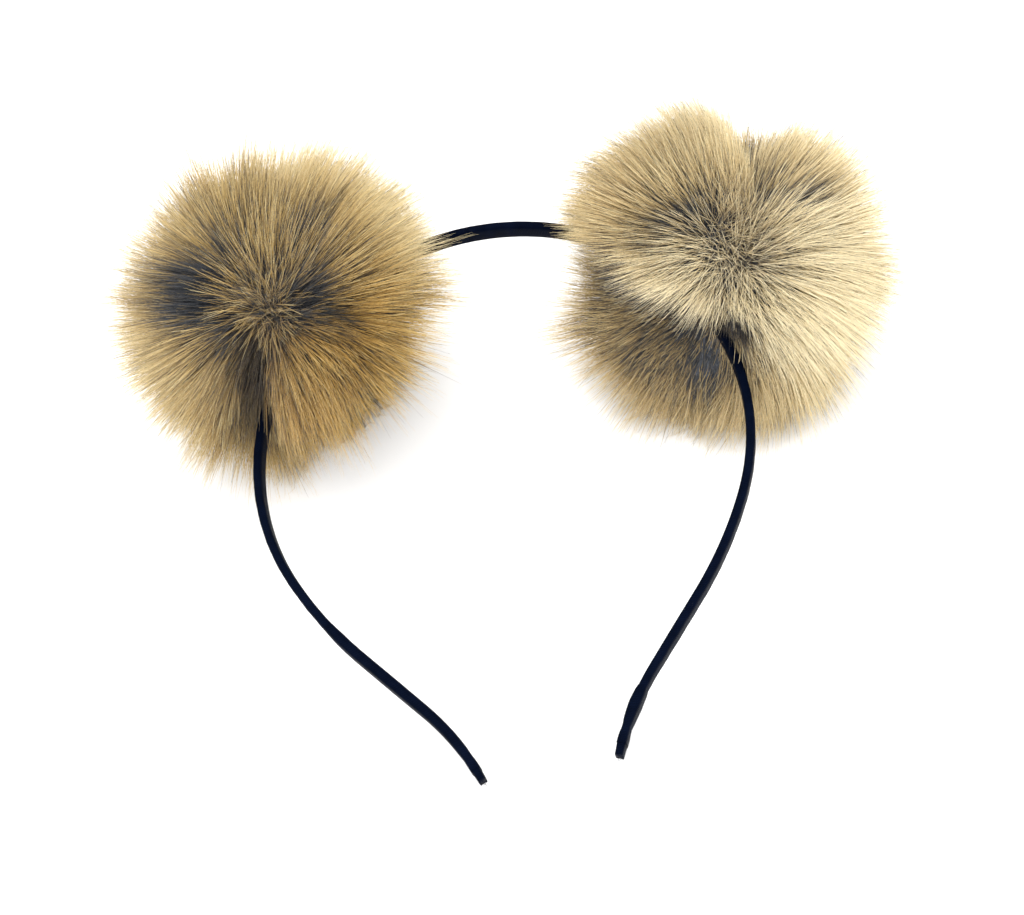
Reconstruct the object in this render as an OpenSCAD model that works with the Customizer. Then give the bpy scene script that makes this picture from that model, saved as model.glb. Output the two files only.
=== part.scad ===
// Animal ears headband: a springy ribbon band with two round fur pompoms as ears.
// It lies on a table, as it is put down: both pompoms and both band tips touch the top.
// Every piece is drawn flat in the plane of the band, with X to the right, Y towards the
// crown and Z out of the band, and place() then tilts it about the crown's inner face.

/* [Band] */
// Radius of the band's centreline over the crown and the sides, mm
band_r = 66.3; // [58:0.1:75]
// Angle from the crown's middle to the end of that round stretch, degrees
round_half = 116; // [100:1:125]
// Radius of the flatter stretch below it, mm
lower_r = 115; // [90:1:160]
// Angle of the flatter stretch, degrees
lower_angle = 14.7; // [5:0.1:25]
// Length of the straight stretch above the flared tip, mm
straight_len = 22; // [5:0.5:40]
// Radius of the outward flare at the tip, mm
flare_r = 69.5; // [40:0.5:120]
// Angle of the flare, degrees
flare_angle = 17; // [0:0.5:30]
// Width of the satin sleeve, across the band, mm
sleeve_w = 4.8; // [3:0.1:10]
// Thickness of the satin sleeve, mm
sleeve_t = 2.2; // [1.6:0.1:4]
// Wall of the sleeve, mm
sleeve_wall = 0.45; // [0.3:0.05:0.8]
// Width of the spring strip inside, mm
strip_w = 3.6; // [2:0.1:8]
// Thickness of the spring strip, mm
strip_t = 1.0; // [0.6:0.1:2]

/* [Flex and ends] */
// Angle from the crown's middle at which each side is taken to bend, degrees
flex_at = 12.5; // [8:0.5:25]
// Clearance round the bending knuckle, mm
knuckle_gap = 0.35; // [0.2:0.05:0.6]
// Length of the glued outer layer at the left tip, mm
left_wrap_len = 55; // [10:1:70]
// Length of the glued outer layer at the right tip, mm
right_wrap_len = 15; // [8:1:20]
// Thickness of that layer, mm
wrap_wall = 0.25; // [0.15:0.05:0.5]
// Length of the sealed end beyond the strip, mm
tip_len = 3; // [2:0.5:6]

/* [Pompoms] */
// Outer radius of the fur, mm
fur_r = 45; // [30:0.5:55]
// Angle from the crown's middle to the left pompom's tie, degrees
left_at = 46; // [30:1:65]
// Angle from the crown's middle to the right pompom's tie, degrees
right_at = 57; // [30:1:65]
// Left fur's middle from its tie: along the band, outwards, and up, mm
left_shift = [0, 8.4, 2];
// Right fur's middle from its tie: along the band, outwards, and up, mm
right_shift = [3.8, 11, -1];
// Outer radius of the gathered pelt ball, mm
pelt_r = 13; // [8:0.5:20]
// Thickness of the pelt, mm
pelt_wall = 1.0; // [0.6:0.1:2]
// Radius of the pelt's gathered mouth, mm
mouth_r = 3.2; // [2:0.1:6]
// Distance from the band's centreline to the pelt's middle, mm
pelt_out = 19.5; // [15:0.5:30]

/* [Tie] */
// Radius of the elastic loop's centreline round the band, mm
loop_r = 3.6; // [3:0.1:6]
// Diameter of the elastic and of the gathering thread, mm
thread_d = 1.1; // [0.6:0.1:2]
// Radius of the knot, mm
knot_r = 1.6; // [1:0.1:3]
// Swing of the pompom that its groove leaves room for, degrees each way
swing = 10; // [4:1:15]

/* [Resting] */
// Tilt of the band's plane, lifted at the crown by the pompoms, degrees
tilt = 15; // [5:0.5:30]
// Height of the table below the crown's inner face, mm
table_drop = 42.4; // [30:0.1:70]

/* [Hidden] */
$fn = 48;
hub_y = sleeve_t / 2 - band_r;
cavity_w = sleeve_w - 2 * sleeve_wall;
cavity_t = sleeve_t - 2 * sleeve_wall;
knuckle_r = sleeve_t / 2 + 0.1;
socket_r = knuckle_r + knuckle_gap;
to_deg = 180 / PI;
lower_at = round_half / to_deg * band_r;
straight_at = lower_at + lower_angle / to_deg * lower_r;
flare_at = straight_at + straight_len;
side_len = flare_at + flare_angle / to_deg * flare_r;
path_step = 3.3;
strip_back = (socket_r + 0.4) / band_r * to_deg;
wrap_gap = 0.04;
groove_reach = fur_r + 15;
groove_waist = sleeve_w / 2 + 0.9;
satin = "#0b1022";
steel = "#8d9299";
gold_fur = "#c2a468";
cream_fur = "#d9c79a";
leather = "#d8cbb2";
thread = "#14161d";

// ---- placing ----

// Tilts a piece from the plane of the band to where the headband lies.
module place() {
  rotate([tilt, 0, 0]) children();
}

// Draws a right-hand piece as it is, or mirrors it to the left.
module sided(left) {
  mirror([left ? 1 : 0, 0, 0]) children();
}

// Goes to the centreline at an angle from the crown: X runs on along it, Y points outwards.
module at_angle(angle) {
  translate([0, hub_y, 0]) rotate([0, 0, -angle]) translate([0, band_r, 0]) children();
}

// Goes to the tip of a side: X runs on along it, Y points outwards.
module at_tip() {
  end = on_path(side_len);
  translate([end[0], end[1], 0]) rotate([0, 0, -heading(side_len)]) children();
}

// ---- sections and stretches ----

// Flat section with rounded corners: x is the thickness, y the width.
module flat_section(t, w, corner) {
  square([t - 2 * corner, w], center = true);
  square([t, w - 2 * corner], center = true);
  for (sx = [-1, 1], sy = [-1, 1])
    translate([sx * (t / 2 - corner), sy * (w / 2 - corner)]) circle(r = corner);
}

// Hollow section of the sleeve, or of a layer round it.
module tube_section(t, w, wall) {
  difference() {
    flat_section(t, w, t * 0.4);
    flat_section(t - 2 * wall, w - 2 * wall, (t - 2 * wall) * 0.3);
  }
}

// Stretch of the crown, as long as the angle, bent about the middle of the band.
module crown_stretch(half_angle) {
  translate([0, hub_y, 0]) rotate([0, 0, 90 - half_angle])
    rotate_extrude(angle = 2 * half_angle, $fn = 180) translate([band_r, 0]) children();
}

// Direction of the right-hand side's centreline at a length from the crown, degrees downwards.
function heading(s) =
  s < lower_at ? s / band_r * to_deg
  : s < straight_at ? round_half + (s - lower_at) / lower_r * to_deg
  : s < flare_at ? round_half + lower_angle
  : round_half + lower_angle - (s - flare_at) / flare_r * to_deg;

// Outward direction there, and the point of the centreline itself.
function outward(s) = [sin(heading(s)), cos(heading(s))];
function on_path(s) =
  s <= lower_at ? [0, hub_y] + band_r * outward(s)
  : s <= straight_at ? on_path(lower_at) + lower_r * (outward(s) - outward(lower_at))
  : s <= flare_at ? on_path(straight_at)
      + (s - straight_at) * [outward(flare_at)[1], -outward(flare_at)[0]]
  : on_path(flare_at) - flare_r * (outward(s) - outward(flare_at));

// Flat outline of a side between two lengths from the crown, and the prism on it.
module side_stretch(from, to, t, w) {
  count = ceil((to - from) / path_step);
  stops = [for (i = [0 : count]) from + (to - from) * i / count];
  linear_extrude(w, center = true) polygon(concat(
    [for (i = [0 : count]) on_path(stops[i]) + outward(stops[i]) * t / 2],
    [for (i = [count : -1 : 0]) on_path(stops[i]) - outward(stops[i]) * t / 2]));
}

// ---- band ----

// Spring strip over the crown.
module crown_strip() {
  color(steel) place() crown_stretch(flex_at - strip_back)
    square([strip_t, strip_w], center = true);
}

// Spring strip of one side: it starts behind the knuckle and stops at the tip.
module side_strip(left) {
  color(steel) place() sided(left)
    side_stretch((flex_at + strip_back) / to_deg * band_r, side_len, strip_t, strip_w);
}
module left_strip() { side_strip(true); }
module right_strip() { side_strip(false); }

// Satin sleeve over the crown, hollowed at each end round the knuckle.
module crown_sleeve() {
  color(satin) place() difference() {
    crown_stretch(flex_at) tube_section(sleeve_t, sleeve_w, sleeve_wall);
    for (end = [-flex_at, flex_at])
      at_angle(end) cylinder(r = socket_r, h = sleeve_w + 2, center = true);
  }
}

// Satin sleeve of one side, with the round knuckle that stands for its flex.
module side_sleeve(left) {
  start = flex_at / to_deg * band_r;
  color(satin) place() sided(left) {
    difference() {
      side_stretch(start, side_len, sleeve_t, sleeve_w);
      side_stretch(start + socket_r, side_len + 1, cavity_t, cavity_w);
    }
    at_angle(flex_at) cylinder(r = knuckle_r, h = sleeve_w - 0.1, center = true);
  }
}
module left_sleeve() { side_sleeve(true); }
module right_sleeve() { side_sleeve(false); }

// Outer layer of fabric glued over the last stretch of the sleeve.
module end_wrap(left, len) {
  t = sleeve_t + 2 * wrap_gap;
  w = sleeve_w + 2 * wrap_gap;
  color(satin) place() sided(left) difference() {
    side_stretch(side_len - len, side_len, t + 2 * wrap_wall, w + 2 * wrap_wall);
    side_stretch(side_len - len - 1, side_len + 1, t, w);
  }
}
module left_end_wrap() { end_wrap(true, left_wrap_len); }
module right_end_wrap() { end_wrap(false, right_wrap_len); }

// Sealed end of the fabric beyond the strip, pressed flat.
module side_tip(left) {
  color(satin) place() sided(left) at_tip() translate([0.05, 0, 0]) rotate([90, 0, 90])
    linear_extrude(tip_len) flat_section(sleeve_t * 0.85, sleeve_w * 0.9, 0.6);
}
module left_tip() { side_tip(true); }
module right_tip() { side_tip(false); }

// ---- pompoms ----

// Goes to a pompom's tie: X along the band, Y outwards, Z out of the band's plane.
module at_tie(left) {
  place() sided(left) at_angle(left ? left_at : right_at) children();
}

// Elastic loop round the sleeve.
module loop(left) {
  color(thread) at_tie(left) rotate([0, 90, 0])
    rotate_extrude() translate([loop_r, 0]) circle(d = thread_d);
}
module left_loop() { loop(true); }
module right_loop() { loop(false); }

// Knot of the loop on the outer side, inside the pelt's mouth.
module knot(left) {
  color(thread) at_tie(left) translate([0, loop_r + thread_d / 2 + knot_r + 0.05, 0])
    sphere(r = knot_r);
}
module left_knot() { knot(true); }
module right_knot() { knot(false); }

// Gathered skin of the pompom: a thin ball with its mouth towards the band.
module pelt(left) {
  color(leather) at_tie(left) difference() {
    translate([0, pelt_out, 0]) sphere(r = pelt_r);
    translate([0, pelt_out, 0]) sphere(r = pelt_r - pelt_wall);
    rotate([-90, 0, 0]) cylinder(r = mouth_r, h = pelt_out);
  }
}
module left_pelt() { pelt(true); }
module right_pelt() { pelt(false); }

// Ball of loose fibre that fills the pelt.
module stuffing(left) {
  color("#efece2") at_tie(left) translate([0, pelt_out, 0]) sphere(r = pelt_r - pelt_wall - 0.2);
}
module left_stuffing() { stuffing(true); }
module right_stuffing() { stuffing(false); }

// Thread that gathers the pelt's mouth, just outside it.
module drawstring(left) {
  ring_r = mouth_r + thread_d / 2 + 0.3;
  ring_out = pelt_out - sqrt(pow(pelt_r + thread_d / 2 + 0.05, 2) - pow(ring_r, 2));
  color(thread) at_tie(left) translate([0, ring_out, 0]) rotate([90, 0, 0])
    rotate_extrude() translate([ring_r, 0]) circle(d = thread_d);
}
module left_drawstring() { drawstring(true); }
module right_drawstring() { drawstring(false); }

// Outline of the groove seen from outside: narrow at the tie, wider where the band leaves.
module groove_outline() {
  mouth = groove_waist + groove_reach * tan(swing) + groove_reach * 0.09;
  polygon([[-groove_reach, -mouth], [0, -groove_waist], [groove_reach, -mouth],
           [groove_reach, mouth], [0, groove_waist], [-groove_reach, mouth]]);
}

// The fur as one soft solid: a ball flattened by the table, grooved for the band.
module fur(left) {
  shift = left ? left_shift : right_shift;
  color(left ? gold_fur : cream_fur) intersection() {
    at_tie(left) difference() {
      translate(shift) rotate([90, 0, 0]) sphere(r = fur_r, $fn = 96);
      translate([0, pelt_out, 0]) sphere(r = pelt_r + 0.3);
      translate([0, sleeve_t / 2 + 1.4, 0]) rotate([90, 0, 0])
        linear_extrude(fur_r * 2) groove_outline();
      translate([0, pelt_out, 0]) rotate([90, 0, 0]) cylinder(r = 5.4, h = pelt_out + fur_r);
    }
    translate([-200, -200, -table_drop]) cube([400, 400, 200]);
  }
}
module left_fur() { fur(true); }
module right_fur() { fur(false); }

crown_strip();
left_strip();
right_strip();
crown_sleeve();
left_sleeve();
right_sleeve();
left_end_wrap();
right_end_wrap();
left_tip();
right_tip();
left_loop();
right_loop();
left_knot();
right_knot();
left_pelt();
right_pelt();
left_stuffing();
right_stuffing();
left_drawstring();
right_drawstring();
left_fur();
right_fur();
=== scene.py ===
import math
import bmesh
import bpy
import numpy as np
from mathutils import Matrix, Vector


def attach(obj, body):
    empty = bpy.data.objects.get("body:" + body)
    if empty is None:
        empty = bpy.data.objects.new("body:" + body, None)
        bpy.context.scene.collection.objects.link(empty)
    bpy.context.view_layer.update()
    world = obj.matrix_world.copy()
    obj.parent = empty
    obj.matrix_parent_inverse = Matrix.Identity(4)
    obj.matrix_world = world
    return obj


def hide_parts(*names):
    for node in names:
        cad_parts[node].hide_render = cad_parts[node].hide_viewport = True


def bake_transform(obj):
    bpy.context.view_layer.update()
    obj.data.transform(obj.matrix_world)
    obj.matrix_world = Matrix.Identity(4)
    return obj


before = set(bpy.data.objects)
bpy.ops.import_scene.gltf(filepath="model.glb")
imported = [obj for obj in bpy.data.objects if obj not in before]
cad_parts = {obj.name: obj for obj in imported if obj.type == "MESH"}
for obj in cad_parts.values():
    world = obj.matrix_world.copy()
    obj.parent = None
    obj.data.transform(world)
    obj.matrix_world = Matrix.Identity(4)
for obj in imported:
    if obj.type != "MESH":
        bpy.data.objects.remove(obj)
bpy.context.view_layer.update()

# ---- Spring strips ----
# Narrow strips of spring steel lie in the sleeve, one over the crown and one down each side.
# They are rolled, slit and left bare, and only their edges are rubbed by the fabric.
strip_steel = (0.42, 0.44, 0.47)


def put(tree, kind, inputs=(), **settings):
    """Adds a node; each input is (socket, a value or another node's output)."""
    made = tree.nodes.new(kind)
    for key, value in settings.items():
        setattr(made, key, value)
    for key, value in inputs:
        if isinstance(value, bpy.types.NodeSocket):
            tree.links.new(value, made.inputs[key])
        else:
            made.inputs[key].default_value = value
    return made


def blank_finish(name, **sockets):
    """A new material and its Principled shader, with plain values on the sockets named."""
    material = bpy.data.materials.new(name)
    material.use_nodes = True
    shader = material.node_tree.nodes["Principled BSDF"]
    for key, value in sockets.items():
        shader.inputs[key.replace("_", " ")].default_value = value
    return material, material.node_tree, shader


def coloured(tree, factor, stops, kind="LINEAR"):
    """A colour ramp over a factor; stops are (place, red, green, blue)."""
    ramp = put(tree, "ShaderNodeValToRGB", [("Fac", factor)])
    ramp.color_ramp.interpolation = kind
    while len(ramp.color_ramp.elements) < len(stops):
        ramp.color_ramp.elements.new(0.5)
    for element, stop in zip(ramp.color_ramp.elements, stops):
        element.position = stop[0]
        element.color = (*stop[1:], 1)
    return ramp.outputs["Color"]


def own_place(tree, stretch=(1, 1, 1)):
    """Object coordinates, stretched to lay a grain along one way."""
    place = put(tree, "ShaderNodeTexCoord").outputs["Object"]
    return put(tree, "ShaderNodeMapping", [("Vector", place), ("Scale", stretch)]).outputs[0]


steel_finish, steel_tree, steel_shader = blank_finish("spring_steel", Metallic=1.0)
steel_grain = put(steel_tree, "ShaderNodeTexNoise", [
    ("Vector", own_place(steel_tree, (1, 1, 14))), ("Scale", 500.0), ("Detail", 4.0)]).outputs[0]
rubbed_steel = [c * 0.8 for c in strip_steel]
steel_tree.links.new(coloured(steel_tree, steel_grain, [
    (0.3, *rubbed_steel), (0.7, *strip_steel)]), steel_shader.inputs["Base Color"])
steel_rough = put(steel_tree, "ShaderNodeMapRange", [
    ("Value", steel_grain), ("To Min", 0.28), ("To Max", 0.45)]).outputs[0]
steel_tree.links.new(steel_rough, steel_shader.inputs["Roughness"])


def refinish(node, material):
    """Gives a carried-over node its finish."""
    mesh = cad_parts[node].data
    mesh.materials.clear()
    mesh.materials.append(material)


for strip in ("crown_strip", "left_strip", "right_strip"):
    refinish(strip, steel_finish)

# ---- Satin sleeve ----
# A tube of near-black navy satin ribbon is drawn over the strips and follows them to the tips.
# Each half is one piece.
band_r = 0.0663
round_half = math.radians(116)
lower_r = 0.115
lower_angle = math.radians(14.7)
straight_len = 0.022
flare_r = 0.0695
flare_angle = math.radians(17)
sleeve_w = 0.0048
sleeve_t = 0.0022
proud_t, proud_w = 0.0003, 0.0007
proud_fades_over = 0.03
tilt = math.radians(15)
hub_y = sleeve_t / 2 - band_r
lower_at = round_half * band_r
straight_at = lower_at + lower_angle * lower_r
flare_at = straight_at + straight_len
side_len = flare_at + flare_angle * flare_r


def laid(points):
    """Points in the plane of the band, as the headband lies tilted on the table."""
    p = np.asarray(points, float)
    y = p[..., 1] * math.cos(tilt) - p[..., 2] * math.sin(tilt)
    z = p[..., 1] * math.sin(tilt) + p[..., 2] * math.cos(tilt)
    return np.stack([p[..., 0], y, z], -1)


def heading(s):
    """Direction of the right side at a length from the crown's middle, downwards from level."""
    if s < lower_at:
        return s / band_r
    if s < straight_at:
        return round_half + (s - lower_at) / lower_r
    if s < flare_at:
        return round_half + lower_angle
    return round_half + lower_angle - (s - flare_at) / flare_r


def outward(s):
    return np.array([math.sin(heading(s)), math.cos(heading(s))])


def proud(s):
    """How much thicker and wider the soft ribbon is than a tight sleeve, none near the tips."""
    share = min(1, max(0, (side_len - s) / proud_fades_over))
    return proud_t * share, proud_w * share


def on_path(s):
    """The point of the right side's centreline at that length."""
    if s <= lower_at:
        return np.array([0, hub_y]) + band_r * outward(s)
    if s <= straight_at:
        return on_path(lower_at) + lower_r * (outward(s) - outward(lower_at))
    if s <= flare_at:
        run = outward(flare_at)
        return on_path(straight_at) + (s - straight_at) * np.array([run[1], -run[0]])
    return on_path(flare_at) - flare_r * (outward(s) - outward(flare_at))


def mesh_piece(name, points, faces, material):
    """A mesh object at the origin, with smooth faces."""
    mesh = bpy.data.meshes.new(name)
    mesh.from_pydata([tuple(p) for p in points], [], faces)
    mesh.materials.append(material)
    mesh.shade_smooth()
    piece = bpy.data.objects.new(name, mesh)
    bpy.context.scene.collection.objects.link(piece)
    return piece


def swept_tube(name, side, stations, material, around=32, squareness=4.5):
    """Sweeps a flat rounded section down one side of the band.
    Each station is (length from the crown, thickness, width, sideways shift)."""
    turn = np.arange(around) / around * 2 * math.pi
    across = np.sign(np.cos(turn)) * np.abs(np.cos(turn)) ** (2 / squareness)
    upward = np.sign(np.sin(turn)) * np.abs(np.sin(turn)) ** (2 / squareness)
    points = []
    for s, thick, wide, shift in stations:
        middle, out = on_path(s), outward(s)
        for a, u in zip(across, upward):
            flat = middle + out * (a * thick / 2 + shift)
            points.append((side * flat[0], flat[1], u * wide / 2))
    faces, rings = [], len(stations)
    for i in range(rings - 1):
        for k in range(around):
            quad = [i * around + k, i * around + (k + 1) % around,
                    (i + 1) * around + (k + 1) % around, (i + 1) * around + k]
            faces.append(quad if side < 0 else quad[::-1])
    for ring, way in ((0, 1), (rings - 1, -1)):
        rim = [ring * around + k for k in range(around)]
        faces.append(rim[::-1] if side * way < 0 else rim)
    piece = mesh_piece(name, laid(points), faces, material)
    lengths = [s[0] for s in stations]
    girth = sleeve_w * 2.6
    weave_per_metre = 10
    layer = piece.data.uv_layers.new(name="Weave")
    for polygon in piece.data.polygons:
        for corner in polygon.loop_indices:
            vertex = piece.data.loops[corner].vertex_index
            k = vertex % around
            if k == 0 and any(piece.data.loops[c].vertex_index % around == around - 1
                              for c in polygon.loop_indices):
                k = around
            layer.data[corner].uv = (lengths[vertex // around] * weave_per_metre,
                                     k / around * girth * weave_per_metre)
    return piece


def bumped(tree, shader, height, distance, strength=1.0):
    """Feeds a height into the shader's normal through a Bump node."""
    bump = put(tree, "ShaderNodeBump", [("Height", height), ("Strength", strength)])
    bump.inputs["Distance"].default_value = distance
    tree.links.new(bump.outputs["Normal"], shader.inputs["Normal"])


satin_finish, satin_tree, satin_shader = blank_finish(
    "navy_satin", Specular_IOR_Level=0.02)
satin_shader.inputs["Specular Tint"].default_value = (0.35, 0.5, 1.0, 1)
weave_uv = put(satin_tree, "ShaderNodeUVMap", uv_map="Weave").outputs[0]
twill_place = put(satin_tree, "ShaderNodeMapping", [
    ("Vector", weave_uv), ("Rotation", (0, 0, math.radians(38)))]).outputs[0]
twill = put(satin_tree, "ShaderNodeTexWave", [
    ("Vector", twill_place), ("Scale", 60.0), ("Distortion", 0.6), ("Detail", 2.0),
    ("Detail Scale", 3.0)]).outputs["Fac"]
weft = put(satin_tree, "ShaderNodeTexWave", [
    ("Vector", weave_uv), ("Scale", 85.0), ("Distortion", 1.2), ("Detail", 1.0)],
    bands_direction="X").outputs["Fac"]
pucker = put(satin_tree, "ShaderNodeTexNoise", [
    ("Vector", put(satin_tree, "ShaderNodeMapping", [
        ("Vector", weave_uv), ("Scale", (14, 60, 1))]).outputs[0]),
    ("Scale", 1.0), ("Detail", 3.0)]).outputs[0]
rubbed = put(satin_tree, "ShaderNodeTexNoise", [
    ("Vector", own_place(satin_tree)), ("Scale", 260.0), ("Detail", 6.0)]).outputs[0]
threads = put(satin_tree, "ShaderNodeMath", [(0, twill), (1, weft)], operation="ADD").outputs[0]
relief = put(satin_tree, "ShaderNodeMath", [
    (0, pucker), (1, 3.0), (2, threads)], operation="MULTIPLY_ADD").outputs[0]
bumped(satin_tree, satin_shader, relief, 0.00007, 0.7)
satin_tone = put(satin_tree, "ShaderNodeMath", [
    (0, rubbed), (1, 0.6), (2, put(satin_tree, "ShaderNodeMath", [
        (0, threads), (1, 0.2)], operation="MULTIPLY").outputs[0])],
    operation="MULTIPLY_ADD").outputs[0]
satin_tree.links.new(coloured(satin_tree, satin_tone, [
    (0.25, 0.0006, 0.0010, 0.0030), (0.55, 0.0012, 0.0026, 0.0085),
    (0.8, 0.0030, 0.0055, 0.0160)]),
    satin_shader.inputs["Base Color"])
satin_tree.links.new(put(satin_tree, "ShaderNodeMapRange", [
    ("Value", rubbed), ("To Min", 0.36), ("To Max", 0.6)]).outputs[0],
    satin_shader.inputs["Roughness"])

sleeve_step = 0.0012
for side, name in ((-1, "left"), (1, "right")):
    count = round(side_len / sleeve_step)
    stations = []
    for i in range(count + 1):
        s = side_len * i / count
        ripple = 0.00003 * math.sin(s * 900 + side) + 0.00002 * math.sin(s * 2300)
        thicker, wider = proud(s)
        stations.append((s, sleeve_t + thicker + ripple, sleeve_w + wider - ripple, ripple * 0.5))
    sleeve = swept_tube(name + "_satin_sleeve", side, stations, satin_finish)
    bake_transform(sleeve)
    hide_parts(name + "_sleeve")
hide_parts("crown_sleeve")

# ---- Glued outer layers and sealed ends ----
# Near each tip a second turn of the same satin is glued round the sleeve, long on the left
# side and short on the right. Beyond the strip the cloth is pressed flat, cut and singed, and
# a few threads stand out of the raw edges.
wrap_length = {"left": 0.055, "right": 0.015}
wrap_wall = 0.00022
end_len = 0.003
table_z = -0.0424
fray_thread = 0.00009


def unit(v):
    v = np.asarray(v, float)
    return v / np.maximum(np.linalg.norm(v, axis=-1, keepdims=True), 1e-9)


def end_stations(name):
    """Stations of the outer layer: a raw upper edge, a bulge and a pinch before the tip."""
    start, stations = side_len - wrap_length[name], []
    for i in range(61):
        u = i / 60
        s = start + (side_len - start) * u
        left = side_len - s
        grow = 2 * wrap_wall * (0.35 + 0.65 * min(1, u * 14))
        pinch = (0.0005 if name == "right" else 0.0002) * math.exp(-((left - 0.0042) / 0.0015) ** 2)
        bulge = 0.0004 * math.exp(-((left - 0.0105) / 0.0028) ** 2) if name == "right" else 0
        thicker, wider = proud(s)
        stations.append((s, sleeve_t + thicker + grow + bulge - pinch,
                         sleeve_w + wider + grow + bulge - pinch, 0))
    return stations


def with_fray(piece, side, name, s, wide, count, length, seed):
    """Adds loose threads to a piece, standing out of a raw edge of the ribbon."""
    draw = np.random.default_rng(seed)
    points = [(v.co.x, v.co.y, max(v.co.z, table_z)) for v in piece.data.vertices]
    faces = [list(f.vertices) for f in piece.data.polygons]
    out, base = outward(s), on_path(s)
    down = np.array([out[1], -out[0]])
    ring = np.array([(math.cos(a), math.sin(a)) for a in (0.3, 2.4, 4.5)])
    for _ in range(count):
        root = np.array([*(base + out * draw.uniform(-0.4, 0.4) * sleeve_t),
                         draw.uniform(-0.5, 0.5) * wide])
        way = unit([*(down * draw.uniform(0.5, 1.0) + out * draw.normal() * 0.35),
                    draw.normal() * 0.35])
        curl = unit(draw.normal(size=3)) * 0.45
        reach = length * draw.uniform(0.4, 1.0)
        first = len(points)
        for j in range(5):
            u = j / 4
            at = root + (way * u + curl * u * u) * reach - way * 0.0004
            for a, b in ring * fray_thread / 2 * (1 - 0.7 * u):
                p = at + np.array([a, b, 0.3 * a])
                resting = laid((side * p[0], p[1], p[2]))
                points.append((resting[0], resting[1], max(resting[2], table_z)))
        for j in range(4):
            for a in range(3):
                b = (a + 1) % 3
                here = first + j * 3
                quad = [here + a, here + b, here + 3 + b, here + 3 + a]
                faces.append(quad if side > 0 else quad[::-1])
        faces.append([first, first + 1, first + 2][::1 if side < 0 else -1])
        faces.append([first + 12, first + 13, first + 14][::-1 if side < 0 else 1])
    made = mesh_piece(name, points, faces, satin_finish)
    flat = made.data.uv_layers.new(name="Weave")
    old = piece.data.uv_layers["Weave"].data
    for corner in range(len(old)):
        flat.data[corner].uv = old[corner].uv
    bpy.data.objects.remove(piece)
    return made


for side, name in ((-1, "left"), (1, "right")):
    wrap = with_fray(swept_tube("plain_layer", side, end_stations(name), satin_finish), side,
                     name + "_outer_layer", side_len - wrap_length[name], sleeve_w, 7, 0.0035, 71)
    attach(wrap, name + "_side")
    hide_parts(name + "_end_wrap")
    pressed = []
    for i in range(7):
        u = i / 6
        pressed.append((side_len - 0.0004 + (end_len + 0.0004) * u, sleeve_t * (1.10 - 0.16 * u),
                        sleeve_w * (1.04 - 0.05 * math.sin(3 * u)), 0))
    end = with_fray(swept_tube("plain_end", side, pressed, satin_finish), side,
                    name + "_sealed_end", side_len + end_len, sleeve_w, 12, 0.0016, 73)
    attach(end, name + "_side")
    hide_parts(name + "_tip")

# ---- Elastic ties ----
# A loop of thin black elastic goes round the sleeve and through the mouth of each pompom, and
# is knotted inside it. A thread gathers the mouth. Both are round braided cords.
braid_finish, braid_tree, braid_shader = blank_finish("black_elastic", Roughness=0.8)
braid_cells = put(braid_tree, "ShaderNodeTexVoronoi", [
    ("Vector", own_place(braid_tree)), ("Scale", 2600.0)]).outputs["Distance"]
braid_tree.links.new(coloured(braid_tree, braid_cells, [
    (0.0, 0.02, 0.021, 0.027), (0.6, 0.006, 0.006, 0.009)]), braid_shader.inputs["Base Color"])
bumped(braid_tree, braid_shader, braid_cells, 0.0002)
for name in ("left", "right"):
    for part in ("_loop", "_knot", "_drawstring"):
        refinish(name + part, braid_finish)

# ---- Pelt and stuffing ----
# Each pompom is a disc of tanned pelt, gathered skin side in round a ball of loose fibre.
hide_finish, hide_tree, hide_shader = blank_finish("tanned_pelt", Roughness=0.75)
hide_folds = put(hide_tree, "ShaderNodeTexNoise", [
    ("Vector", own_place(hide_tree)), ("Scale", 220.0), ("Detail", 6.0)]).outputs[0]
hide_tree.links.new(coloured(hide_tree, hide_folds, [
    (0.3, 0.34, 0.27, 0.18), (0.7, 0.62, 0.53, 0.38)]), hide_shader.inputs["Base Color"])
bumped(hide_tree, hide_shader, hide_folds, 0.0006)
fibre_finish, fibre_tree, fibre_shader = blank_finish("loose_fibre", Roughness=0.9)
fibre_wisps = put(fibre_tree, "ShaderNodeTexNoise", [
    ("Vector", own_place(fibre_tree, (1, 5, 1))), ("Scale", 400.0), ("Detail", 8.0)]).outputs[0]
fibre_tree.links.new(coloured(fibre_tree, fibre_wisps, [
    (0.3, 0.62, 0.6, 0.55), (0.7, 0.9, 0.89, 0.85)]), fibre_shader.inputs["Base Color"])
bumped(fibre_tree, fibre_shader, fibre_wisps, 0.0008)
for name in ("left", "right"):
    refinish(name + "_pelt", hide_finish)
    refinish(name + "_stuffing", fibre_finish)

# ---- Fur of the pompoms ----
# Dense agouti fur: each hair is slate at the root, golden tan above and cream or black at its
# tip. It is combed away from a navel on the side turned up, where the roots show as slate
# patches, and it parts round the band. The underfur is a grooved ball, and the hairs are grown
# on it in several coats, each a separate piece that turns with its pompom.
# The hair colour also carries painted shade, near black in the partings and the crease, and painted
# highlight that pales the tops and sides of the balls.
view_from = np.array([0.0378, -0.3641, 0.3210])
view_right = np.array([0.9779, -0.0952, -0.1849])
view_up = np.array([0.1927, 0.7494, 0.6333])
under_r = 0.0295
band_room = 0.0033
full_lean, leaning_within = 0.92, 0.55
drift_share = 0.22
seen_ahead = 0.32
groove_floor, groove_edge = 0.30, 0.45


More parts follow.
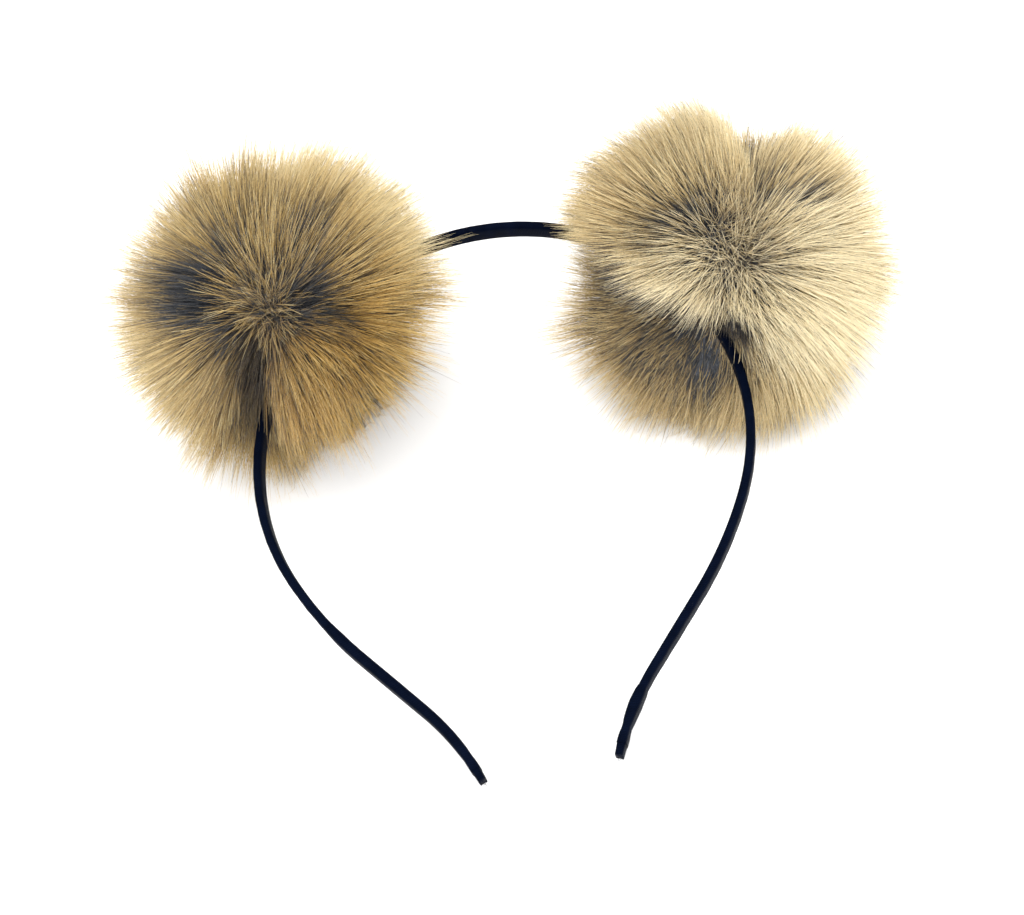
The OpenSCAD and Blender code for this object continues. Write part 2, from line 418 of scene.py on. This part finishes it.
class Pompom:
    """Where one pompom sits: its middle, its own axes, and the face it turns up."""

    def __init__(self, name, side, tied_at, shift, opens_up):
        angle = math.radians(tied_at)
        self.name, self.side, self.shift, self.opens_up = name, side, shift, opens_up
        self.along = np.array([side * math.cos(angle), -math.sin(angle), 0])
        self.out = np.array([side * math.sin(angle), math.cos(angle), 0])
        tie = np.array([0, hub_y, 0]) + band_r * self.out
        middle = tie + self.along * shift[0] + self.out * shift[1] + [0, 0, shift[2]]
        self.middle = laid(middle)
        self.axes = np.array([laid(self.along), laid(self.out), laid((0, 0, 1))])
        self.face = unit(view_from - self.middle)
        self.right = unit(view_right - self.face * (view_right @ self.face))
        self.up = np.cross(self.face, self.right)

    def toward(self, x, y):
        """The direction of a place on the upturned face, x across and y up, in radii."""
        deep = math.sqrt(max(0.0, 1 - x * x - y * y))
        return unit(self.right * x + self.up * y + self.face * deep)

    def spot(self, d, x, y, size, strength=1.0):
        """A soft round patch."""
        off = np.linalg.norm(d - self.toward(x, y), axis=-1)
        return strength * np.exp(-(off / size) ** 2)

    def off_line(self, d, places):
        """How far directions are from a line through several places, and which way."""
        best, push = np.full(len(d), 9.0), np.zeros_like(d)
        for a, b in zip(places[:-1], places[1:]):
            p, q = self.toward(*a), self.toward(*b)
            t = np.clip(((d - p) @ (q - p)) / max((q - p) @ (q - p), 1e-9), 0, 1)
            gap = d - (p + t[:, None] * (q - p))
            far = np.linalg.norm(gap, axis=-1)
            nearer = far < best
            best = np.where(nearer, far, best)
            push[nearer] = unit(gap)[nearer]
        return best, push

    def streak(self, d, places, size, strength=1.0):
        """A soft line through several places."""
        return strength * np.exp(-(self.off_line(d, places)[0] / size) ** 2)

    def parted(self, d, places, size, strength=1.0):
        """How hair is pushed to both sides of a line through several places."""
        best, push = self.off_line(d, places)
        return push * (strength * np.exp(-(best / size) ** 2))[:, None]


def groove_reach(ball, d):
    """How far the underfur may reach each way before it meets the room kept for the band.
    The groove widens away from the tie and opens up or down, the way the band lies."""
    t, o, n = (d @ ball.axes.T).T
    reach = np.full(len(d), under_r * 1.2)
    open_slope = math.tan(math.radians(45 if ball.opens_up else 38))
    for r in np.linspace(under_r * 1.2, 0.002, 70):
        from_tie = np.clip(r * t + ball.shift[0], -band_r * 0.95, band_r * 0.95)
        band_o = -ball.shift[1] - (band_r - np.sqrt(band_r ** 2 - from_tie ** 2))
        height = r * n + ball.shift[2]
        room = band_room + 0.16 * np.abs(from_tie)
        past = -(r * o - band_o) + 0.0035
        inside = past > 0
        if ball.opens_up:
            inside &= (height > -room) & (height < room + past * open_slope)
        else:
            inside &= (height < room) & (height > -room - past * open_slope)
        reach = np.where(inside, r, reach)
    return reach


def noise_on_ball(d, seed, count=10, low=2.0, high=6.0):
    """Smooth lumps over a ball, from a few waves with seeded directions."""
    draw = np.random.default_rng(seed)
    total = np.zeros(len(d))
    for _ in range(count):
        wave = unit(draw.normal(size=3)) * draw.uniform(low, high)
        total += np.sin(d @ wave + draw.uniform(0, 6.3))
    return total / math.sqrt(count)


left_ball = Pompom("left", -1, 46, (0, 0.0084, 0.002), False)
right_ball = Pompom("right", 1, 57, (0.0038, 0.011, -0.001), True)


def left_marks(root, d):
    """Patches, painted shade and highlight, dents, trimmed and puffed hair of the left pompom, where
    they are seen.
    """
    b = left_ball
    slate = (b.spot(d, -0.62, 0.12, 0.27, 1.5) + b.spot(d, -0.88, 0.16, 0.24, 0.6)
             + b.spot(d, -0.44, 0.26, 0.15, 0.9) + b.spot(d, -0.50, -0.08, 0.14, 0.6)
             + b.spot(d, 0.13, 0.12, 0.16, 1.3) + b.spot(d, 0.28, 0.0, 0.14, 1.0)
             + b.spot(d, 0.40, -0.16, 0.12, 0.5) + b.spot(d, 0.22, 0.62, 0.13, 0.9)
             + b.streak(d, [(-0.42, 0.60), (-0.44, 0.36)], 0.07, 1.0)
             + b.spot(d, -0.18, 0.80, 0.22, 0.4) + b.spot(d, -0.27, -0.12, 0.08, 0.8))
    # painted shade: hairs along the parting below the navel, in a short line beside it and in a spot
    # low on the ball are darkened towards near black where shade falls; the same mask also dents the
    # hair there
    painted_shade = (b.streak(d, [(-0.25, -0.16), (-0.28, -0.55), (-0.27, -0.90)], 0.11, 3.0)
            + b.streak(root, [(-0.26, -0.22), (-0.28, -0.55), (-0.27, -0.90)], 0.13, 1.6)
            + b.streak(d, [(-0.24, -0.2), (-0.10, -0.42)], 0.045, 0.9)
            + b.spot(d, 0.20, -0.80, 0.10, 0.5))
    tuft = (b.spot(root, -0.22, 0.08, 0.16)
            + b.streak(d, [(-0.20, -0.25), (-0.185, -0.36)], 0.035, 0.8))
    rust = (b.spot(d, 0.46, -0.35, 0.35, 0.9) + b.spot(d, 0.62, 0.04, 0.30, 0.8)
            + b.spot(d, -0.1, -0.6, 0.30, 0.6) + b.spot(d, 0.05, -0.3, 0.2, 0.7)
            + b.spot(d, 0.05, -0.85, 0.5, 0.9))
    # pale patches, mostly painted highlight: the hair on the top and upper sides of the ball, where
    # light falls, is paled towards cream, and so is a patch low on the left side
    pale = (b.spot(d, 0.1, 1.0, 0.5, 0.9) + b.spot(d, 0.85, 0.5, 0.4, 0.7)
            + b.spot(d, -0.95, 0.5, 0.35, 0.7) + b.spot(d, -0.9, -0.3, 0.4, 0.4))
    dent = 0.20 * np.clip(slate, 0, 1) + 0.30 * np.clip(painted_shade, 0, 1) - 0.12 * tuft
    puff = (0.10 * b.spot(root, 1.0, 0.0, 0.7) + 0.05 * b.spot(root, 0.0, 1.0, 0.6)
            + 0.14 * b.spot(root, -0.27, -0.95, 0.35))
    untrimmed = np.zeros(len(d))
    slate = np.clip(slate - 1.1 * tuft, -0.25, 1)
    return slate, pale, rust, np.clip(painted_shade - 1.2 * tuft, 0, 1), dent, untrimmed, puff


def right_marks(root, d):
    """The same for the right pompom, paler and split by the crease the band lies in."""
    b = right_ball
    crease = [(-0.92, 0.04), (-0.83, -0.16), (-0.67, -0.31), (-0.47, -0.41),
              (-0.26, -0.50), (0.0, -0.57), (0.14, -0.63)]
    slate = (b.streak(d, crease, 0.13, 1.8) + b.spot(d, -0.84, -0.04, 0.18, 1.0)
             + b.spot(d, -0.52, 0.21, 0.10, 1.2)
             + b.streak(d, [(-0.36, 0.35), (-0.14, 0.49)], 0.08, 1.0)
             + b.streak(d, [(0.28, 0.95), (0.34, 0.50)], 0.12, 1.2)
             + b.spot(d, 0.46, 0.62, 0.13, 0.8) + b.spot(d, 0.66, 0.50, 0.12, 0.6)
             + b.streak(d, [(0.16, 0.16), (0.24, 0.08), (0.52, -0.14)], 0.035, 1.0))
    # painted shade: hairs along the crease the band lies in, in a short line beside the navel and in
    # a spot low on the ball are darkened towards near black where shade falls; the same mask also
    # dents the hair there
    painted_shade = (b.streak(d, crease[2:-1], 0.08, 1.5) + b.streak(root, crease[1:], 0.10, 1.3)
            + b.spot(d, 0.24, -0.68, 0.10, 0.8)
            + b.streak(d, [(0.15, 0.17), (0.27, 0.07)], 0.035, 1.0))
    rust = (b.spot(d, -0.8, -0.5, 0.4, 0.8) + b.spot(d, -0.3, -0.85, 0.4, 0.8)
            + b.spot(d, -0.75, 0.5, 0.25, 0.6) + b.spot(d, 0.72, 0.62, 0.10, 0.6)
            + b.spot(d, 0.3, -0.9, 0.3, 0.4))
    # paler fur and painted highlight: the cream lobe below the navel is truly paler, while the
    # paling on the top and right side of the ball, where light falls, is painted highlight
    pale = (b.spot(d, -0.15, -0.22, 0.46, 1.3) + b.spot(d, 0.75, 0.0, 0.62, 1.0)
            + b.spot(d, 0.1, 1.0, 0.4, 0.7) + b.spot(d, 0.8, 0.7, 0.3, 0.6)
            + b.spot(d, 0.6, -0.5, 0.35, 0.7))
    notch = b.streak(root, [(0.24, 1.0), (0.28, 0.80), (0.32, 0.58)], 0.12, 1.0)
    dent = (0.14 * np.clip(slate, 0, 1) + 0.12 * np.clip(painted_shade, 0, 1) + 0.42 * notch
            + 0.10 * b.spot(root, 0.17, 0.245, 0.12))
    lobe_edge = [(-0.85, 0.25), (-0.55, -0.05), (-0.3, -0.25), (0.0, -0.36)]
    trim = np.clip(b.streak(root, lobe_edge, 0.17, 0.9)
                   + b.streak(root, [(0.06, -0.34), (0.18, -0.60)], 0.19, 1.5), 0, 1.35)
    puff = 0.45 * b.spot(root, -0.95, -0.25, 0.50)
    tuft = b.spot(root, 0.17, 0.245, 0.15)
    return np.clip(slate, 0, 1) - 0.30 * tuft, pale, rust, np.clip(painted_shade, 0, 1), dent, trim, puff


def underfur(ball, marks, navel, partings, reach_of_coat, seed, finish):
    """The grooved ball the hairs grow on, with how they grow stored at its points."""
    shape = bmesh.new()
    bmesh.ops.create_icosphere(shape, subdivisions=6, radius=1)
    mesh = bpy.data.meshes.new(ball.name + "_underfur")
    shape.to_mesh(mesh)
    shape.free()
    d = unit(np.array([v.co for v in mesh.vertices]))
    middle_of_navel = ball.toward(*navel)
    cosine = np.clip(d @ middle_of_navel, -1, 1)
    away = unit(d * cosine[:, None] - middle_of_navel)
    turned = np.arccos(cosine)
    rising = np.clip(turned / leaning_within, 0, 1)
    less_behind = 1 - 0.5 * np.clip(turned / 1.8, 0, 1)
    lean = full_lean * rising * rising * (3 - 2 * rising) * less_behind
    drift = np.stack([noise_on_ball(d, seed + 40 + k, low=2, high=7) for k in range(3)], -1)
    drift -= d * np.sum(drift * d, -1, keepdims=True)
    comb = away * lean[:, None] + drift_share * drift
    for places, size, strength in partings:
        comb += ball.parted(d, places, size, strength)
    trim = marks(d, unit(d + 0.30 * comb))[5]
    comb = comb * (1 - 0.35 * trim)[:, None]
    if ball.opens_up:
        t, o, n = (d @ ball.axes.T).T
        lift = np.clip(-o * 1.6, 0, 1) * np.exp(-((n + 0.12) / 0.42) ** 2) * (n < 0.12)
        lift *= np.clip((0.62 - t) / 0.35, 0, 1)
        rise = ball.axes[2] - d * n[:, None]
        comb = comb * (1 - lift)[:, None] + rise * (0.40 * lift)[:, None]
    seen = unit(d + seen_ahead * comb)
    slate, pale, rust, painted_shade, dent, trim, puff = marks(d, seen)
    full = under_r * (1 + 0.02 * noise_on_ball(d, seed) - dent)
    reach = groove_reach(ball, d)
    radius = np.minimum(full, reach)
    mesh.vertices.foreach_set("co", (ball.middle + d * radius[:, None]).ravel())
    depth = np.clip((radius / full - groove_floor) / groove_edge, 0, 1)
    grow = 0.35 + 0.65 * depth
    slate = np.maximum(slate, 0.35 * (1 - depth))
    length = reach_of_coat * (1 + 0.05 * noise_on_ball(d, seed + 1, low=3, high=9))
    length *= (1 - 0.9 * np.clip(dent, 0, 0.6)) * (1 - 0.38 * trim) * (1 + puff)
    length *= (0.30 + 0.70 * depth) * (1 - 0.13 * np.clip(d[:, 1] + 0.4 * comb[:, 1], 0, 1))
    stored = {"grow": grow, "reach": length, "slate": slate, "pale": np.clip(pale, 0, 1),
              "rust": np.clip(rust, 0, 1), "painted_shade": painted_shade,
              "loose": 1 + 1.7 * np.exp(-(turned / 0.24) ** 2)}
    for key, values in stored.items():
        mesh.attributes.new(key, "FLOAT", "POINT").data.foreach_set(
            "value", values.astype(np.float32))
    for key, values in {"out": d, "comb": comb}.items():
        mesh.attributes.new(key, "FLOAT_VECTOR", "POINT").data.foreach_set(
            "vector", values.astype(np.float32).ravel())
    mesh.materials.append(finish)
    mesh.shade_smooth()
    piece = bpy.data.objects.new(mesh.name, mesh)
    bpy.context.scene.collection.objects.link(piece)
    return piece


def sum_of(tree, op, a, b=0.0, c=0.0):
    return put(tree, "ShaderNodeMath", [(0, a), (1, b), (2, c)], operation=op).outputs[0]


def arrow(tree, op, a, b=None, scale=None):
    made = put(tree, "ShaderNodeVectorMath", [(0, a)], operation=op)
    for key, value in ((1, b), ("Scale", scale)):
        if isinstance(value, bpy.types.NodeSocket):
            tree.links.new(value, made.inputs[key])
        elif value is not None:
            made.inputs[key].default_value = value
    return made.outputs["Value" if op in ("LENGTH", "DOT_PRODUCT") else "Vector"]


hair_tree = bpy.data.node_groups.new("hairs_on_pelt", "GeometryNodeTree")
hair_inputs = {}
for label, kind, value in (
        ("Pelt", "Geometry", None), ("Hairs per square metre", "Float", 1e6), ("Seed", "Int", 1),
        ("Points along a hair", "Int", 4), ("Length", "Float", 1.0), ("Root width", "Float", 0.0002),
        ("Tip width", "Float", 0.00003), ("Stray", "Float", 0.1), ("Lock pull", "Float", 0.5),
        ("Lock size", "Float", 0.004), ("Lock sway", "Float", 0.35), ("Comb", "Float", 1.0),
        ("Table height", "Float", -1.0),
        ("Finish", "Material", None)):
    made = hair_tree.interface.new_socket(label, in_out="INPUT", socket_type="NodeSocket" + kind)
    if value is not None:
        made.default_value = value
    hair_inputs[label] = made.identifier
hair_tree.interface.new_socket("Hairs", in_out="OUTPUT", socket_type="NodeSocketGeometry")
given = put(hair_tree, "NodeGroupInput").outputs


def stored(key, kind="FLOAT"):
    return put(hair_tree, "GeometryNodeInputNamedAttribute", [("Name", key)],
               data_type=kind).outputs["Attribute"]


def keep(geometry, key, value, kind="FLOAT"):
    return put(hair_tree, "GeometryNodeStoreNamedAttribute", [
        ("Geometry", geometry), ("Name", key), ("Value", value)],
        data_type=kind, domain="POINT").outputs[0]


def chance(seed_step, low, high, kind="FLOAT"):
    """A random value that is the same all along one hair."""
    seed = sum_of(hair_tree, "ADD", given["Seed"], seed_step)
    made = put(hair_tree, "FunctionNodeRandomValue", [
        ("ID", stored("strand", "INT")), ("Seed", seed)], data_type=kind)
    first = 0 if kind == "FLOAT_VECTOR" else 2
    made.inputs[first].default_value, made.inputs[first + 1].default_value = low, high
    return made.outputs[0 if kind == "FLOAT_VECTOR" else 1]


scattered = put(hair_tree, "GeometryNodeDistributePointsOnFaces", [
    ("Mesh", given["Pelt"]), ("Seed", given["Seed"]),
    ("Density", sum_of(hair_tree, "MULTIPLY", given["Hairs per square metre"], stored("grow")))])
roots = keep(scattered.outputs["Points"], "strand",
             put(hair_tree, "GeometryNodeInputIndex").outputs[0], "INT")
roots = keep(roots, "root", put(hair_tree, "GeometryNodeInputPosition").outputs[0], "FLOAT_VECTOR")
copies = put(hair_tree, "GeometryNodeDuplicateElements", [
    ("Geometry", roots), ("Amount", given["Points along a hair"])], domain="POINT")
last_point = sum_of(hair_tree, "SUBTRACT", given["Points along a hair"], 1.0)
hairs = keep(copies.outputs["Geometry"], "along",
             sum_of(hair_tree, "DIVIDE", copies.outputs["Duplicate Index"], last_point))
along = stored("along")
along_2 = sum_of(hair_tree, "MULTIPLY", along, along)
root = stored("root", "FLOAT_VECTOR")
rise = sum_of(hair_tree, "MULTIPLY_ADD", along_2, -0.14, along)
fall = sum_of(hair_tree, "ADD", sum_of(hair_tree, "MULTIPLY", along, 0.45),
              sum_of(hair_tree, "MULTIPLY", along_2, 0.5))
swirl = put(hair_tree, "ShaderNodeTexNoise", [
    ("Vector", root), ("Scale", 75.0), ("Detail", 1.5)]).outputs["Color"]
swirl = arrow(hair_tree, "SCALE", arrow(hair_tree, "SUBTRACT", swirl, (0.5, 0.5, 0.5)), scale=0.9)
sway = arrow(hair_tree, "SCALE", chance(3, (-1, -1, -1), (1, 1, 1), "FLOAT_VECTOR"),
             scale=sum_of(hair_tree, "MULTIPLY", given["Stray"], stored("loose")))
flow = arrow(hair_tree, "SCALE", stored("comb", "FLOAT_VECTOR"),
             scale=sum_of(hair_tree, "MULTIPLY", fall, given["Comb"]))
locks = put(hair_tree, "ShaderNodeTexVoronoi", [
    ("Vector", root), ("Scale", sum_of(hair_tree, "DIVIDE", 1.0, given["Lock size"]))],
    feature="F1")
lock_way = arrow(hair_tree, "SCALE", arrow(
    hair_tree, "SUBTRACT", locks.outputs["Color"], (0.5, 0.5, 0.5)), scale=given["Lock sway"])
swirl = arrow(hair_tree, "ADD", swirl, lock_way)
bend = arrow(hair_tree, "SCALE", arrow(hair_tree, "ADD", swirl, sway), scale=along)
step = arrow(hair_tree, "ADD", arrow(hair_tree, "SCALE", stored("out", "FLOAT_VECTOR"), scale=rise),
             arrow(hair_tree, "ADD", flow, bend))
coat_length = sum_of(hair_tree, "MULTIPLY", stored("reach"), given["Length"])
hair_length = sum_of(hair_tree, "MULTIPLY", coat_length, chance(5, 0.74, 1.08))
to_lock = arrow(hair_tree, "SUBTRACT", locks.outputs["Position"], root)
pull = sum_of(hair_tree, "MULTIPLY", given["Lock pull"], sum_of(hair_tree, "POWER", along, 1.4))
pull = sum_of(hair_tree, "DIVIDE", pull, stored("loose"))
place = arrow(hair_tree, "ADD", root, arrow(hair_tree, "SCALE", step, scale=hair_length))
place = arrow(hair_tree, "ADD", place, arrow(hair_tree, "SCALE", to_lock, scale=pull))
above = arrow(hair_tree, "MAXIMUM", place, put(hair_tree, "ShaderNodeCombineXYZ", [
    (0, -1.0), (1, -1.0), (2, given["Table height"])]).outputs[0])
hairs = put(hair_tree, "GeometryNodePointsToCurves", [
    (0, hairs), ("Curve Group ID", stored("strand", "INT")), ("Weight", along)]).outputs[0]
hairs = put(hair_tree, "GeometryNodeSetPosition", [(0, hairs), ("Position", above)]).outputs[0]
taper = sum_of(hair_tree, "POWER", along, 1.6)
width = put(hair_tree, "ShaderNodeMapRange", [
    ("Value", taper), ("To Min", given["Root width"]), ("To Max", given["Tip width"])]).outputs[0]
hairs = keep(hairs, "pick", chance(7, 0.0, 1.0))
ring_points = 3
ring = put(hair_tree, "GeometryNodeCurvePrimitiveCircle", [
    ("Resolution", ring_points), ("Radius", 1.0)]).outputs[0]
half_width = sum_of(hair_tree, "MULTIPLY", width, 0.5)
hairs = put(hair_tree, "GeometryNodeCurveToMesh", [
    (0, hairs), ("Profile Curve", ring), ("Scale", half_width)]).outputs[0]
hairs = put(hair_tree, "GeometryNodeRealizeInstances", [(0, hairs)]).outputs[0]
hairs = put(hair_tree, "GeometryNodeSetMaterial", [
    (0, hairs), ("Material", given["Finish"])]).outputs[0]
put(hair_tree, "NodeGroupOutput", [(0, hairs)])


def coat(ball, pelt, part, finish, slot, hairs_per_mm2, points=4, **settings):
    """Grows one coat of hairs on an underfur ball and makes it a plain mesh."""
    name = f"{ball.name}_{part}"
    carrier = bpy.data.objects.new(name + "_roots", pelt.data)
    bpy.context.scene.collection.objects.link(carrier)
    grower = carrier.modifiers.new("hairs", "NODES")
    grower.node_group = hair_tree
    values = {"Hairs per square metre": hairs_per_mm2 * 1e6, "Points along a hair": points,
              "Table height": table_z + 0.0002, "Finish": finish, **settings}
    for label, value in values.items():
        grower[hair_inputs[label]] = value
    grown = carrier.evaluated_get(bpy.context.evaluated_depsgraph_get())
    mesh = bpy.data.meshes.new_from_object(grown)
    bpy.data.objects.remove(carrier)
    mesh.name = name
    vertex = np.empty(len(mesh.loops), np.int64)
    mesh.loops.foreach_get("vertex_index", vertex)
    hair = vertex // (points * ring_points)
    level = (vertex // ring_points) % points
    cells = math.ceil(math.sqrt(hair.max() + 1))
    u = (hair % cells + 0.15 + 0.35 * (vertex % ring_points)) / cells
    v = (hair // cells + 0.12 + 0.76 * level / (points - 1)) / cells
    mesh.uv_layers.new(name="OFBake").data.foreach_set(
        "uv", np.stack([u, v], -1).astype(np.float32).ravel())
    piece = bpy.data.objects.new(name, mesh)
    bpy.context.scene.collection.objects.link(piece)
    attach(piece, ball.name + "_pompom")
    print(name, hair.max() + 1, "hairs", len(mesh.polygons) * 2, "triangles")
    return piece


hair_colour = bpy.data.node_groups.new("agouti_colour", "ShaderNodeTree")
for label in ("Along", "Slate", "Pale and highlight", "Rust", "Painted shade", "Pick", "Tip"):
    hair_colour.interface.new_socket(label, in_out="INPUT", socket_type="NodeSocketFloat")
hair_colour.interface.new_socket("Color", in_out="OUTPUT", socket_type="NodeSocketColor")
told = put(hair_colour, "NodeGroupInput").outputs


def mixed(tree, factor, a, b, kind="MIX"):
    made = put(tree, "ShaderNodeMix", data_type="RGBA", blend_type=kind)
    for socket, value in ((made.inputs[0], factor), (made.inputs[6], a), (made.inputs[7], b)):
        if isinstance(value, bpy.types.NodeSocket):
            tree.links.new(value, socket)
        else:
            socket.default_value = value if isinstance(value, float) else (*value, 1)
    return made.outputs[2]


uneven = sum_of(hair_colour, "MULTIPLY_ADD", told["Pick"], 0.34, -0.17)
grown_out = sum_of(hair_colour, "ADD", told["Along"], uneven)
slate_share = sum_of(hair_colour, "MULTIPLY", told["Slate"], 0.72)
banding = sum_of(hair_colour, "SUBTRACT", grown_out, slate_share)
# paler fur and painted highlight also shift the banding towards the tip colours
banding = sum_of(hair_colour, "MULTIPLY_ADD", told["Pale and highlight"], 0.12, banding)
golden = coloured(hair_colour, banding, [
    (0.0, 0.011, 0.014, 0.021), (0.28, 0.066, 0.073, 0.083), (0.42, 0.105, 0.080, 0.048),
    (0.56, 0.38, 0.245, 0.070), (0.78, 0.54, 0.375, 0.135), (1.0, 0.71, 0.585, 0.305)])
rusty = mixed(hair_colour, sum_of(hair_colour, "MULTIPLY", told["Rust"], 0.75), golden,
              (0.87, 0.71, 0.40), "MULTIPLY")
# paler fur and painted highlight: the colour is mixed towards cream, more so towards the tips of the
# hairs
pale_and_highlight_share = sum_of(hair_colour, "MULTIPLY", told["Pale and highlight"], put(hair_colour, "ShaderNodeMapRange", [
    ("Value", banding), ("From Min", 0.35), ("From Max", 0.8), ("To Max", 0.9)]).outputs[0])
pale_and_highlit_colour = mixed(hair_colour, pale_and_highlight_share, rusty, (0.84, 0.735, 0.49))
ticked = mixed(hair_colour, told["Tip"], pale_and_highlit_colour, (0.03, 0.024, 0.02))
# painted shade: hairs in the partings and the crease are mixed towards a near-black brown, a little
# less towards their tips
less_at_tip = put(hair_colour, "ShaderNodeMapRange", [
    ("Value", told["Along"]), ("From Min", 0.5), ("From Max", 1.0),
    ("To Min", 1.0), ("To Max", 0.7)]).outputs[0]
shaded = mixed(hair_colour, sum_of(hair_colour, "MULTIPLY", told["Painted shade"], less_at_tip),
               ticked, (0.022, 0.014, 0.008))
put(hair_colour, "NodeGroupOutput", [(0, shaded)])


def fur_finish(name, black_tips, whiten):
    """The finish of a coat: how many hairs end in black, and how much whiter the whole coat is made.
    """
    material, tree, shader = blank_finish(name, Roughness=0.55, Specular_IOR_Level=0.25)
    shader.inputs["Sheen Weight"].default_value = 0.15

    def read(key):
        return put(tree, "ShaderNodeAttribute", attribute_name=key).outputs["Fac"]
    patchy = put(tree, "ShaderNodeTexNoise", [("Vector", own_place(tree)), ("Scale", 90.0),
                                              ("Detail", 3.0)]).outputs[0]
    pick = sum_of(tree, "MULTIPLY_ADD", patchy, 0.8,
                  sum_of(tree, "MULTIPLY_ADD", read("pick"), 0.9, -0.35))
    is_black = sum_of(tree, "LESS_THAN", read("pick"), black_tips)
    near_tip = put(tree, "ShaderNodeMapRange", [("Value", read("along")), ("From Min", 0.66),
                                                ("From Max", 0.82)]).outputs[0]
    tip = sum_of(tree, "MULTIPLY", is_black, near_tip)
    pale = sum_of(tree, "ADD", read("pale"), whiten)
    colour = put(tree, "ShaderNodeGroup", node_tree=hair_colour)
    for key, value in (("Along", read("along")), ("Slate", read("slate")), ("Pale and highlight", pale),
                       ("Rust", read("rust")), ("Painted shade", read("painted_shade")), ("Pick", pick),
                       ("Tip", tip)):
        tree.links.new(value, colour.inputs[key])
    tree.links.new(colour.outputs[0], shader.inputs["Base Color"])
    return material


def underfur_finish(name):
    """The finish of the short wool under the hairs."""
    material, tree, shader = blank_finish(name, Roughness=0.9)
    wool = put(tree, "ShaderNodeTexNoise", [("Vector", own_place(tree)), ("Scale", 700.0),
                                            ("Detail", 6.0)]).outputs[0]
    tree.links.new(coloured(tree, wool, [(0.3, 0.03, 0.035, 0.045), (0.7, 0.13, 0.14, 0.16)]),
                   shader.inputs["Base Color"])
    bumped(tree, shader, wool, 0.002)
    return material


slate_wool = underfur_finish("slate_underfur")
coats = (
    ("woolly_coat", 0.88, 3, {"Length": 0.72, "Root width": 0.00030, "Tip width": 0.00008,
                              "Stray": 0.25, "Lock pull": 0.25, "Lock size": 0.003,
                              "Comb": 0.8, "Seed": 11}),
    ("coat_1", 0.88, 4, {"Length": 0.93, "Root width": 0.00020, "Stray": 0.14, "Lock pull": 0.42,
                         "Lock size": 0.0056, "Lock sway": 0.62, "Seed": 21}),
    ("coat_2", 0.88, 4, {"Length": 0.98, "Root width": 0.00018, "Stray": 0.18, "Lock pull": 0.38,
                         "Lock size": 0.0040, "Lock sway": 0.55, "Seed": 31}),
    ("coat_3", 0.88, 4, {"Length": 1.00, "Root width": 0.00017, "Stray": 0.20, "Lock pull": 0.42,
                         "Lock size": 0.0026, "Lock sway": 0.35, "Seed": 41}),
    ("coat_4", 0.88, 4, {"Length": 1.02, "Root width": 0.00016, "Stray": 0.24, "Lock pull": 0.3,
                         "Lock size": 0.0021, "Lock sway": 0.30, "Seed": 61}),
)
left_partings = (
    ([(-0.25, -0.12), (-0.27, -0.45), (-0.26, -0.66)], 0.13, 0.24),
    ([(-0.42, 0.62), (-0.43, 0.32)], 0.12, 0.12),
    ([(0.16, 0.50), (0.24, 0.75)], 0.12, 0.25))
right_partings = (
    ([(0.26, 1.05), (0.29, 0.80), (0.33, 0.52)], 0.20, 0.55),
    ([(0.15, 0.17), (0.27, 0.07), (0.55, -0.16)], 0.09, 0.26),
    ([(-0.40, 0.36), (-0.14, 0.50)], 0.12, 0.22))
for ball, marks, navel, partings, reach_of_coat, slot, seed, whiten in (
        (left_ball, left_marks, (-0.25, 0.10), left_partings, 0.0208, "golden_fur", 5, 0.0),
        (right_ball, right_marks, (0.17, 0.245), right_partings, 0.0192, "cream_fur", 17, 0.30)):
    pelt = underfur(ball, marks, navel, partings, reach_of_coat, seed, slate_wool)
    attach(pelt, ball.name + "_pompom")
    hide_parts(ball.name + "_fur")
    soft = fur_finish(ball.name + "_coat", 0.06, whiten)
    ticked_finish = fur_finish(ball.name + "_guard", 0.6, whiten)
    for part, density, points, settings in coats:
        coat(ball, pelt, part, soft, slot, density, points, **settings)
    coat(ball, pelt, "guard_hairs", ticked_finish, slot, 0.22, 4,
         **{"Length": 1.05, "Stray": 0.17, "Comb": 0.85, "Seed": 51, "Root width": 0.00014,
            "Tip width": 0.00004, "Lock pull": 0.1, "Lock sway": 0.1})

# ---- Table, light and camera ----
# The headband lies on a plain white table under a wide soft light.
table_half = 6
table_paint = blank_finish("white_table", Base_Color=(0.9, 0.9, 0.9, 1), Roughness=0.8)[0]
table = mesh_piece("table_top", [
    (-table_half, -table_half, table_z), (table_half, -table_half, table_z),
    (table_half, table_half, table_z), (-table_half, table_half, table_z)],
    [[0, 1, 2, 3]], table_paint)

world = bpy.data.worlds.new("soft_studio")
bpy.context.scene.world = world
world.use_nodes = True
world.node_tree.nodes["Background"].inputs["Color"].default_value = (1, 1, 1, 1)
studio_brightness = 1.60
world.node_tree.nodes["Background"].inputs["Strength"].default_value = studio_brightness


def softbox(name, place, aim, size, watts):
    """A round soft light turned towards a point."""
    data = bpy.data.lights.new(name, "AREA")
    data.shape, data.size, data.energy = "DISK", size, watts
    light = bpy.data.objects.new(name, data)
    light.location = place
    light.rotation_euler = (Vector(aim) - Vector(place)).to_track_quat("-Z", "Y").to_euler()
    bpy.context.scene.collection.objects.link(light)


band_middle = (0, -0.05, 0)
softbox("key_light", (-0.08, 0.12, 0.9), band_middle, 0.6, 2.6)
softbox("fill_light", (0.1, -0.7, 0.7), band_middle, 0.8, 6.0)

camera_data = bpy.data.cameras.new("camera")
camera_data.lens = 59.8
camera_data.sensor_width = 36
camera_data.clip_start, camera_data.clip_end = 0.01, 20
camera = bpy.data.objects.new("camera", camera_data)
view_axes = np.stack([view_right, view_up, np.cross(view_right, view_up)], -1)
camera.matrix_world = Matrix(
    [[*row, place] for row, place in zip(view_axes, view_from)] + [[0, 0, 0, 1]])
bpy.context.scene.collection.objects.link(camera)
bpy.context.scene.camera = camera
bpy.context.scene.view_settings.view_transform = "Standard"
